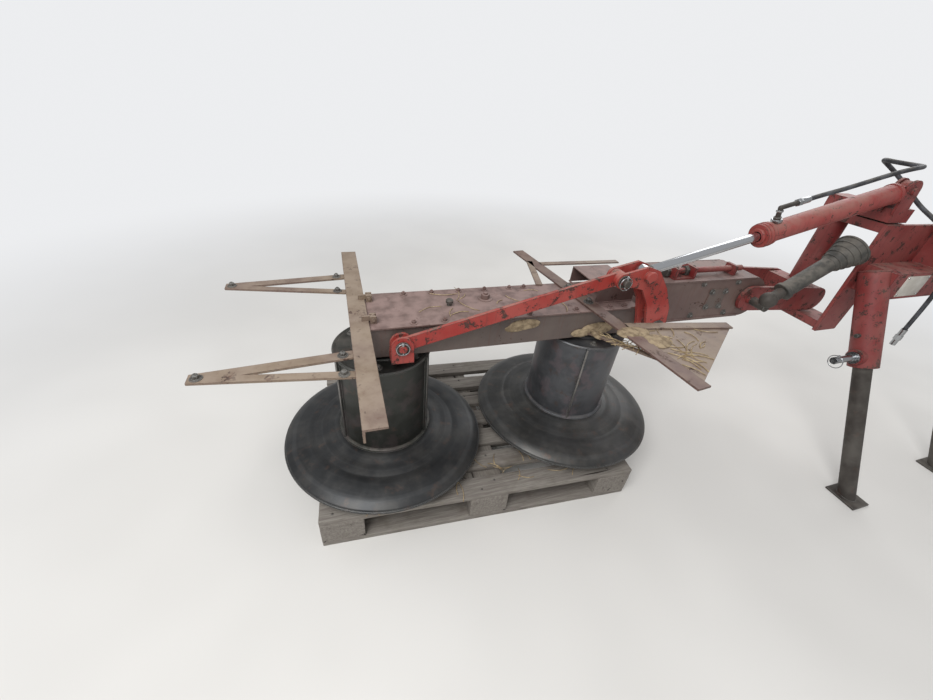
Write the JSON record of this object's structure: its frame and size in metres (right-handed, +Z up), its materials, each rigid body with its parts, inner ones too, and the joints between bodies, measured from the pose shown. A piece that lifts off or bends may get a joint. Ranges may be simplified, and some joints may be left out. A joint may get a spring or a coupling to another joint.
{
  "type": "drum mower",
  "caption": "Three-point-hitch drum mower parked with its drums on a wooden pallet: gear beam, belt-drive arm, lift cylinder with rocker, hitch frame on stand legs.",
  "frame": {"origin": "middle of the footprint on the ground, without the free hose", "axes": "+X along the gear beam towards the hitch, +Y to the rear of the tractor's path, +Z up"},
  "size_m": [3.274, 1.202, 1.27],
  "materials": {
    "old_wood": "weathered grey-brown softwood",
    "faded_red": "faded red paint, chalky and scuffed",
    "dark_red": "dirty dark red paint with rust",
    "dusty_brown": "paint under dried crop dust",
    "worn_steel": "worn steel with dried crop dirt",
    "bright_steel": "bright worn steel",
    "black_plastic": "dusty black plastic",
    "black_rubber": "black hose rubber"
  },
  "bodies": {
    "base": {"pallet_boards": "old_wood", "pallet_blocks": "old_wood", "hitch_frame": "faded_red", "mast": "faded_red", "lower_link_pins": "bright_steel", "supply_hose": "black_rubber", "hose_coupler": "bright_steel"},
    "side_arm": {"swing_column": "faded_red", "side_arm": "faded_red", "column_head": "faded_red", "pto_guard": "black_plastic", "pto_yoke": "worn_steel"},
    "arm": {"arm_tube": "dusty_brown", "belt_guard": "dusty_brown", "arm_pin": "bright_steel", "tensioner": "dark_red"},
    "beam": {"gear_case": "dusty_brown", "beam_cover": "dusty_brown", "input_hood": "dusty_brown", "beam_hubs": "worn_steel", "stay_bracket": "dark_red", "stay_bar": "dark_red", "rocker": "dark_red", "inner_guard_bar": "dusty_brown", "inner_guard_rods": "dusty_brown", "deflector_plate": "dusty_brown", "guard_lugs": "dusty_brown"},
    "drum_outer": {"drum_outer": "worn_steel", "disc_outer": "worn_steel", "knives_outer": "worn_steel"},
    "skid_outer": {"skid_outer": "worn_steel"},
    "drum_inner": {"drum_inner": "worn_steel", "disc_inner": "worn_steel", "knives_inner": "worn_steel"},
    "skid_inner": {"skid_inner": "worn_steel"},
    "outer_guard": {"outer_guard_bar": "dusty_brown", "outer_guard_arms": "dusty_brown"},
    "cylinder": {"cylinder_barrel": "faded_red", "port_pipe": "worn_steel", "port_hose": "black_rubber"},
    "rod": {"cylinder_rod": "bright_steel"},
    "stand_left": {"stand_leg_left": "worn_steel"},
    "stand_right": {"stand_leg_right": "worn_steel"}
  },
  "joints": [
    {"name": "swing", "type": "hinge", "parent": "base", "child": "side_arm", "pos_m": [0.818, 0.14354, 0.825], "axis": [0, 0, -1], "range_deg": [0, 60]},
    {"name": "lift", "type": "hinge", "parent": "side_arm", "child": "arm", "pos_m": [0.378, 0.14354, 0.72], "axis": [0, 1, 0], "range_deg": [0, 45]},
    {"name": "beam_tilt", "type": "hinge", "parent": "arm", "child": "beam", "pos_m": [-0.177, 0.10854, 0.69], "axis": [0, 1, 0], "range_deg": [0, 9]},
    {"name": "inner_drum_spin", "type": "hinge", "parent": "beam", "child": "drum_inner", "pos_m": [-0.362, 0.10854, 0.4], "axis": [0, 0, 1], "continuous": true},
    {"name": "outer_drum_spin", "type": "hinge", "parent": "beam", "child": "drum_outer", "pos_m": [-1.152, 0.10854, 0.4], "axis": [0, 0, 1], "continuous": true},
    {"name": "inner_skid_spin", "type": "hinge", "parent": "drum_inner", "child": "skid_inner", "pos_m": [-0.362, 0.10854, 0.16], "axis": [0, 0, 1], "continuous": true},
    {"name": "outer_skid_spin", "type": "hinge", "parent": "drum_outer", "child": "skid_outer", "pos_m": [-1.152, 0.10854, 0.16], "axis": [0, 0, 1], "continuous": true},
    {"name": "outer_guard_fold", "type": "hinge", "parent": "beam", "child": "outer_guard", "pos_m": [-1.183, 0.10854, 0.761], "axis": [0, 1, 0], "range_deg": [0, 90]},
    {"name": "cylinder_pitch", "type": "hinge", "parent": "side_arm", "child": "cylinder", "pos_m": [0.778, -0.03346, 1.182], "axis": [0, 1, 0], "range_deg": [0, 25.01]},
    {"name": "rod_slide", "type": "slide", "parent": "cylinder", "child": "rod", "axis": [0.9672, 0, 0.2542], "range_m": [0, 0.3859]},
    {"name": "left_stand_slide", "type": "slide", "parent": "base", "child": "stand_left", "axis": [0, 0.4384, 0.8988], "range_m": [0, 0.18]},
    {"name": "right_stand_slide", "type": "slide", "parent": "base", "child": "stand_right", "axis": [0, 0.4384, 0.8988], "range_m": [0, 0.18]}
  ],
  "couplings": [
    {"joint": "beam_tilt", "follows": "lift", "ratio": 0.2},
    {"joint": "cylinder_pitch", "follows": "lift", "ratio": 0.55358},
    {"joint": "rod_slide", "follows": "lift", "m_per_rad": 0.49007},
    {"joint": "outer_drum_spin", "follows": "inner_drum_spin", "ratio": -1}
  ]
}
